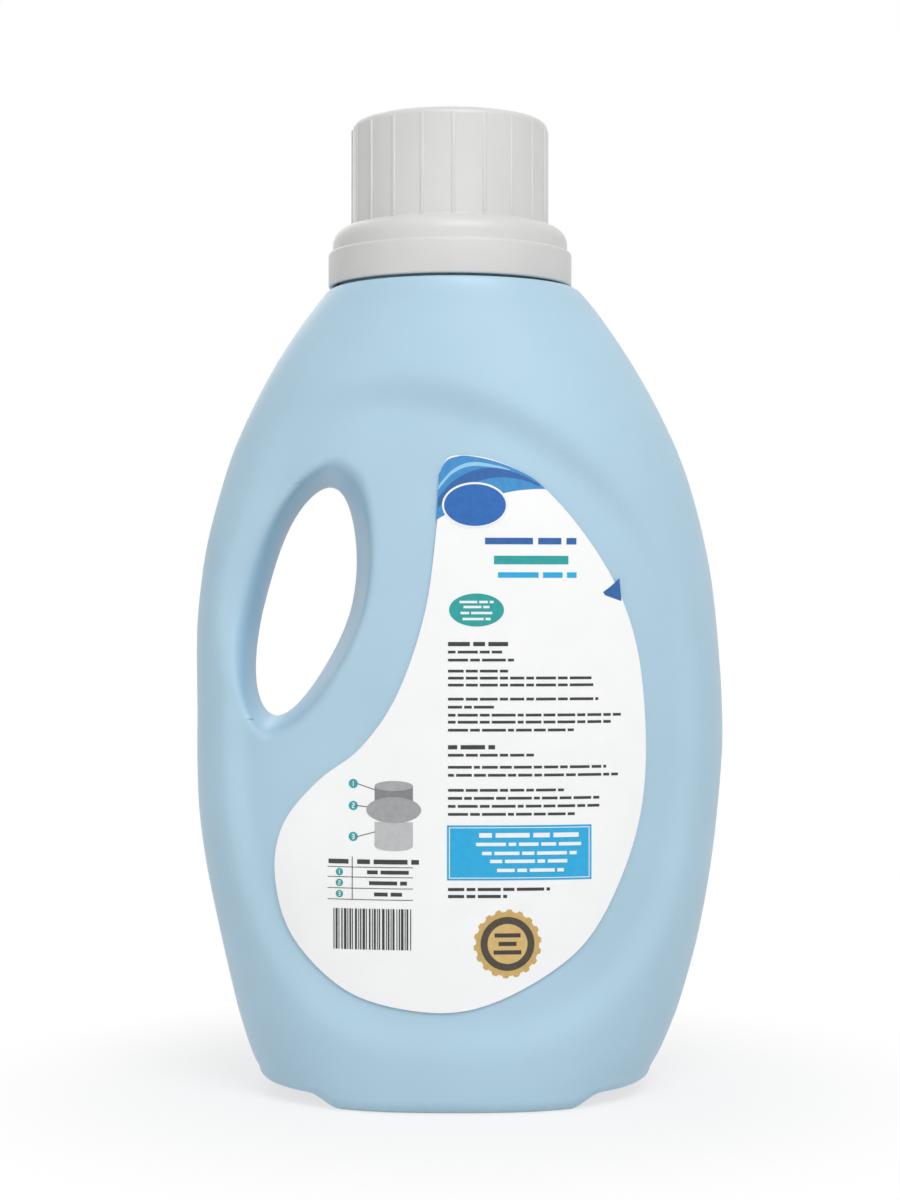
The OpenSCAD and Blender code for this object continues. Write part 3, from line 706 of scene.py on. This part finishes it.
def oval(bm, u, v, ru, rv, core=0.0, teeth=0):
    """A printed oval, an oval ring, or a toothed disc."""
    around, rings = max(6 * teeth, 48), max(math.ceil(ru * (1 - core) * 0.2825 / 4), 1)
    for p in bmesh.ops.create_grid(bm, x_segments=around, y_segments=rings, size=0.5)["verts"]:
        step = round((p.co.x + 0.5) * around)
        turn = 2 * math.pi * step / around
        reach = lerp(core, 1.0, p.co.y + 0.5)
        if teeth and step % 6 < 3:
            reach *= 0.93
        p.co = art(u + ru * reach * math.cos(turn), v + rv * reach * math.sin(turn))


def strip(bm, upper, lower, across=3):
    """A printed field between two smooth lines, each given by a few places."""
    along = 6 * (len(upper) - 1)
    for p in bmesh.ops.create_grid(bm, x_segments=along, y_segments=across, size=0.5)["verts"]:
        t = p.co.x + 0.5
        a, b = line_at(upper, t), line_at(lower, t)
        p.co = art(lerp(b[0], a[0], p.co.y + 0.5), lerp(b[1], a[1], p.co.y + 0.5))


def digit(bm, number, u, v, tall):
    """A numeral of three strokes or fewer, for the numbered dots."""
    w, s = tall * 0.5, tall * 0.16
    if number == 1:
        bar(bm, u - s / 2, v - tall / 2, u + s / 2, v + tall / 2)
        return
    for level in (-1, 0, 1):
        mid = v + level * (tall - s) / 2
        bar(bm, u - w / 2, mid - s / 2, u + w / 2, mid + s / 2)
    bar(bm, u + w / 2 - s, v - tall / 2 + s, u + w / 2, v - s / 2)
    if number == 2:
        bar(bm, u - w / 2, v + s / 2, u - w / 2 + s, v + tall / 2 - s)
    else:
        bar(bm, u + w / 2 - s, v + s / 2, u + w / 2, v + tall / 2 - s)


def back_print(inks):
    """The dosing side: a wave field, a plain badge, small print, a box, a seal, a picture
    of the upturned cap with its three levels, a dosing table and a stripe code."""
    art_of = {name: bmesh.new() for name in inks}
    deep, mid, pale = art_of["deep_blue"], art_of["mid_blue"], art_of["pale_blue"]
    strip(mid, [(439, 474), (446, 461), (456, 456.5), (470, 455.7), (500, 462.5), (530, 476),
                (546, 488.5)],
          [(436, 520), (450, 512), (466, 505), (480, 500), (508, 492), (530, 489), (546, 488.5)])
    strip(deep, [(438, 498), (452, 482), (474, 470), (498, 468), (520, 474), (540, 484)],
          [(438, 508), (454, 494), (476, 482), (498, 477), (520, 479), (540, 486)])
    strip(pale, [(438, 486), (452, 470), (470, 462), (492, 464), (510, 469)],
          [(438, 490), (452, 474), (470, 466), (492, 467), (510, 470)])
    strip(deep, [(604, 592), (612, 586), (621, 578)], [(606, 595), (614, 598), (623, 601)])
    oval(art_of["white_rim"], 475, 505, 33, 23)
    oval(art_of["badge_blue"], 475, 505, 31, 21)
    dark, teal, cyan = art_of["dark_grey"], art_of["teal"], art_of["cyan"]
    words(deep, 485, 577, 541, 6.5, 2)
    words(teal, 494, 577, 560, 8.5, 4)
    words(cyan, 498, 577, 575, 5.5, 2)
    oval(teal, 476.5, 610, 27.5, 16.5)
    white = art_of["white"]
    for v, wide in ((602, 17), (607, 13), (613, 16), (619, 14)):
        words(white, 476.5 - wide, 476.5 + wide, v, 2.4, v % 5)
    lines = ((644, 508, 1.5), (652, 502, 0), (660, 517, 0), (671, 511, 0), (678, 592, 0),
             (685, 595, 0), (699, 599, 0), (707, 495, 0), (715, 622, 0), (722, 613, 0),
             (730, 574, 0), (747, 495, 1.5), (755, 536, 0), (767, 607, 0), (775, 619, 0),
             (790, 564, 0), (798, 600, 0), (806, 600, 0), (814, 575, 0), (889, 550, 0.4),
             (896, 507, 0.4))
    for v, end, bold in lines:
        words(dark, 448, end, v, 2.7 + bold, v % 7)
    bar(cyan, 447, 825, 592, 880)
    for u0, v0, u1, v1 in ((449, 827, 590, 827.8), (449, 877.2, 590, 878), (449, 827, 449.8, 878),
                           (589.2, 827, 590, 878)):
        bar(white, u0, v0, u1, v1)
    for v, u0, u1, tall in ((835, 479, 579, 4.6), (844, 476, 582, 3.4), (853, 482, 577, 3.4),
                            (861, 490, 568, 3.4), (870, 497, 564, 3.4)):
        words(white, u0, u1, v, tall, v % 6)
    oval(art_of["gold"], 507.5, 943.5, 34, 34.5, teeth=18)
    oval(art_of["dark_ring"], 507.5, 943.5, 27, 27)
    oval(art_of["gold_centre"], 507.5, 943.5, 20, 20)
    for v, wide in ((935, 13), (943.5, 9), (952, 14)):
        words(art_of["seal_print"], 507.5 - wide, 507.5 + wide, v, 4.2, 8)
    cup, band, foot = art_of["cup_grey"], art_of["flange_grey"], art_of["light_grey"]
    bar(cup, 374.5, 786, 413, 801)
    oval(art_of["rim_grey"], 393.7, 786, 19.2, 5)
    bar(foot, 374.5, 822, 413, 846)
    oval(foot, 393.7, 846, 19.2, 5)
    oval(band, 393.7, 810, 27.5, 13)
    for v, end in ((784, 375), (806, 367), (837, 375)):
        oval(teal, 353, v, 4.6, 4.6)
        tip = v + (6 if v < 800 else 1 if v < 820 else -5)
        strip(dark, [(357, v - 0.4), (end, tip - 0.4)], [(357, v + 0.4), (end, tip + 0.4)], 1)
    for number, v in ((1, 784), (2, 806), (3, 837)):
        digit(white, number, 353, v, 5.2)
    words(dark, 328, 350, 862, 4.6, 7)
    words(dark, 357, 419, 862, 4.6, 1)
    for v in (867.5, 877.5, 888.7, 900):
        bar(dark, 327, v - 0.35, 413, v + 0.35)
    bar(dark, 351.6, 857, 352.4, 900)
    for number, v, wide in ((1, 872.5, 21), (2, 883.3, 19), (3, 894.5, 14)):
        oval(teal, 339, v, 3.7, 3.7)
        digit(white, number, 339, v, 4.2)
        words(dark, 388 - wide, 388 + wide, v, 3.8, number)
    u, k = 333.0, 0
    while u < 411:
        wide = (1.0, 2.1, 0.9, 1.4, 2.6, 1.0, 1.7)[k % 7]
        bar(dark, u, 909, u + wide, 950)
        u += wide + (1.1, 0.9, 1.9, 1.3, 0.9)[k % 5]
        k += 1
    return art_of


def front_print(inks):
    """The shelf side, not seen in the photo: a wave field, a plain badge, bars for the
    title, plain bubbles and a band at the foot."""
    art_of = {name: bmesh.new() for name in inks}
    deep, mid, pale = art_of["deep_blue"], art_of["mid_blue"], art_of["pale_blue"]
    strip(mid, [(440, 560), (446, 480), (470, 459), (515, 470), (560, 505), (600, 560), (628, 620)],
          [(430, 604), (450, 560), (480, 540), (520, 545), (560, 570), (598, 604), (630, 640)], 8)
    strip(deep, [(442, 540), (470, 505), (510, 506), (550, 530), (590, 568), (622, 612)],
          [(436, 572), (470, 528), (510, 522), (550, 543), (590, 577), (622, 615)], 4)
    oval(art_of["white_rim"], 510, 545, 52, 33)
    oval(art_of["badge_blue"], 510, 545, 49, 30)
    words(deep, 430, 622, 660, 13, 2)
    words(art_of["teal"], 440, 600, 690, 18, 4)
    words(art_of["cyan"], 452, 590, 718, 9, 1)
    strip(pale, [(328, 905), (380, 850), (450, 838), (530, 862), (600, 850), (640, 810)],
          [(356, 950), (410, 905), (460, 900), (530, 915), (590, 895), (632, 850)], 8)
    strip(mid, [(356, 952), (410, 918), (460, 914), (530, 928), (590, 905)],
          [(372, 972), (420, 960), (470, 958), (530, 960), (572, 940)], 5)
    for u, v, r in ((560, 775, 26), (598, 745, 12), (520, 800, 15), (470, 775, 19), (585, 815, 9)):
        oval(art_of["cyan"], u, v, r, r, core=0.86)
        oval(pale, u - r * 0.3, v - r * 0.3, r * 0.2, r * 0.16)
    for v, u0, u1 in ((978, 430, 520), (986, 445, 505)):
        words(art_of["dark_grey"], u0, u1, v, 4, v % 4)
    return art_of


# Colours of the print and the order in which they are laid down
ink_colours = {
    "mid_blue": ("2F86C4", "3A90CC", 0), "pale_blue": ("8CC6E8", "97CDEC", 2),
    "deep_blue": ("1C5A9E", "2363A8", 1), "dark_grey": ("262829", "2E3031", 1),
    "teal": ("139A98", "1CA3A0", 1), "cyan": ("0BA6DC", "14AEE2", 0),
    "gold": ("C8A45A", "D2AE66", 0), "dark_ring": ("3A3428", "443D30", 1),
    "gold_centre": ("D2AF6A", "DAB974", 2), "seal_print": ("2C2720", "352F27", 3),
    "cup_grey": ("7C7E80", "868889", 0), "rim_grey": ("A2A4A5", "ABADAE", 1),
    "light_grey": ("B9BBBC", "C2C4C4", 0), "flange_grey": ("9A9C9D", "A6A8A9", 2),
    "white_rim": ("F2F4F6", "F6F7F8", 3), "badge_blue": ("0E5FAE", "1668B6", 4),
    "white": ("F2F4F6", "F6F7F8", 3),
}


def print_labels():
    inks = {name: printing_ink(name, low, high) for name, (low, high, _) in ink_colours.items()}
    for face, side, drawn in (("back", -1, back_print(inks)), ("front", 1, front_print(inks))):
        for name, bm in drawn.items():
            if not bm.verts:
                bm.free()
                continue
            lift = film_lift + 0.05 + 0.015 * ink_colours[name][2]
            laid(f"{face}_print_{name}", bm, inks[name], side, lift, 0.012)


# Parting line of the mould

def parting_bead(name, path, mat):
    """A fine bead along the mould's parting line, half sunk in the wall."""
    bm = bmesh.new()
    last = len(path) - 1
    for v in bmesh.ops.create_grid(bm, x_segments=last, y_segments=8, size=0.5)["verts"]:
        i = round((v.co.x + 0.5) * last)
        turn = 2 * math.pi * (v.co.y + 0.5)
        a, b = Vector(path[max(i - 1, 0)]), Vector(path[min(i + 1, last)])
        out = Vector((0, 1, 0)).cross(b - a).normalized()
        r = 0.34 if 0 < i < last else 0.02
        v.co = Vector(path[i]) + out * (r * math.cos(turn)) + Vector((0, r * math.sin(turn), 0))
    return new_piece(name, bm, mat, "bottle", sharp=60.0)


def parting_lines(mat):
    sunk = 0.24
    heights = [lerp(16.0, shoulder_z - 2.5, i / 90) for i in range(91)]
    parting_bead("parting_line_handle_side",
                 [(left_x(z) + sunk, 0, z + heel_rise(left_x(z), z)) for z in heights], mat)
    parting_bead("parting_line_front_side",
                 [(right_x(z) - sunk, 0, z + heel_rise(right_x(z), z)) for z in heights], mat)
    mid = (left_x(heel_r) + right_x(heel_r)) / 2
    scar = bmesh.new()
    bmesh.ops.create_cube(scar, size=1.0)
    bmesh.ops.scale(scar, vec=(78.0, 1.3, 0.9), verts=scar.verts)
    bmesh.ops.translate(scar, vec=(mid, 0, push_up), verts=scar.verts)
    bmesh.ops.bevel(scar, geom=scar.edges[:], offset=0.3, segments=2, profile=0.5,
                    affect="EDGES", material=-1)
    new_piece("base_pinch_off_scar", scar, mat, "bottle")


# Stage, light and camera

def area_light(name, place, target, size, power):
    data = bpy.data.lights.new(name, "AREA")
    data.shape = "RECTANGLE"
    data.size, data.size_y = size
    data.energy = power
    lamp = bpy.data.objects.new(name, data)
    bpy.context.collection.objects.link(lamp)
    lamp.location = place
    lamp.rotation_euler = (Vector(target) - Vector(place)).to_track_quat("-Z", "Y").to_euler()
    return lamp


def in_view(tree):
    """1 where the camera sees the surface, straight or in gloss or glass, and 0 for light."""
    path = add(tree, "ShaderNodeLightPath")
    shiny = add(tree, "ShaderNodeMath", links={0: path.outputs["Is Glossy Ray"],
                                               1: path.outputs["Is Transmission Ray"]},
                operation="MAXIMUM")
    return add(tree, "ShaderNodeMath", links={0: path.outputs["Is Camera Ray"],
                                              1: shiny.outputs[0]},
               operation="MAXIMUM").outputs[0]


def studio():
    scene = bpy.context.scene
    scene.view_settings.view_transform = "Standard"
    world = bpy.data.worlds.new("soft_white_room")
    scene.world = world
    world.use_nodes = True
    tree = world.node_tree
    room = tree.nodes["Background"]
    room.inputs["Color"].default_value = (1, 1, 1, 1)
    room.inputs["Strength"].default_value = 0.45
    seen = add(tree, "ShaderNodeBackground", {"Color": (1, 1, 1, 1), "Strength": 1.0})
    mix = add(tree, "ShaderNodeMixShader", links={
        0: in_view(tree), 1: room.outputs[0], 2: seen.outputs[0]})
    tree.links.new(mix.outputs[0], tree.nodes["World Output"].inputs["Surface"])

    # Matt white paper. The camera sees part of it glow, and all of it from about a sixth of a
    # metre out, so that it fades into the white room and still keeps the bottle's shadow
    bm = bmesh.new()
    bmesh.ops.create_grid(bm, x_segments=1, y_segments=1, size=3.0)
    mesh = bpy.data.meshes.new("paper_floor")
    bm.to_mesh(mesh)
    bm.free()
    floor = bpy.data.objects.new("paper_floor", mesh)
    scene.collection.objects.link(floor)
    paper, tree, shader, place = material("paper_white_matt", Roughness=0.9)
    shader.inputs["Base Color"].default_value = srgb("F2F2F2")
    shader.inputs["Specular IOR Level"].default_value = 0.1
    glow = add(tree, "ShaderNodeEmission", {"Color": (1, 1, 1, 1), "Strength": 1.0})
    far = add(tree, "ShaderNodeVectorMath", links={0: place}, operation="LENGTH")
    fade = add(tree, "ShaderNodeMapRange", {"From Min": 0.07, "From Max": 0.17, "To Min": 0.7,
                                            "To Max": 1.0}, {"Value": far.outputs["Value"]},
               interpolation_type="SMOOTHSTEP")
    part = add(tree, "ShaderNodeMath", links={0: in_view(tree), 1: fade.outputs[0]},
               operation="MULTIPLY")
    mix = add(tree, "ShaderNodeMixShader", links={
        0: part.outputs[0], 1: shader.outputs[0], 2: glow.outputs[0]})
    tree.links.new(mix.outputs[0], tree.nodes["Material Output"].inputs["Surface"])
    mesh.materials.append(paper)

    aim = (0.0, 0.0, 0.14)
    area_light("key_softbox", (0.25, -0.8, 1.05), aim, (0.7, 0.7), 8.2)
    area_light("left_fill", (-0.85, -0.8, 0.1), aim, (0.6, 0.8), 1.5)
    area_light("rear_fill", (-0.3, 1.0, 0.8), aim, (0.8, 0.8), 1.8)

    camera = bpy.data.cameras.new("photo_camera")
    camera.sensor_fit = "VERTICAL"
    camera.sensor_height = 36.0
    camera.lens = 72.0
    eye = bpy.data.objects.new("photo_camera", camera)
    scene.collection.objects.link(eye)
    eye.location = (-0.0028, -0.72, 0.1452)
    eye.rotation_euler = (math.radians(90), 0, 0)
    scene.camera = eye


# Putting it together

blue_hdpe = blown_polyethylene()
grey_pp = moulded_polypropylene()
milky_pe = natural_polyethylene()
white_film = label_film()

blown_bottle(blue_hdpe)
measuring_cap(grey_pp)
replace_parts(film("back_label_film", -1, white_film), "back_label")
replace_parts(film("front_label_film", 1, white_film), "front_label")
print_labels()
parting_lines(blue_hdpe)
pouring_insert(milky_pe)
studio()
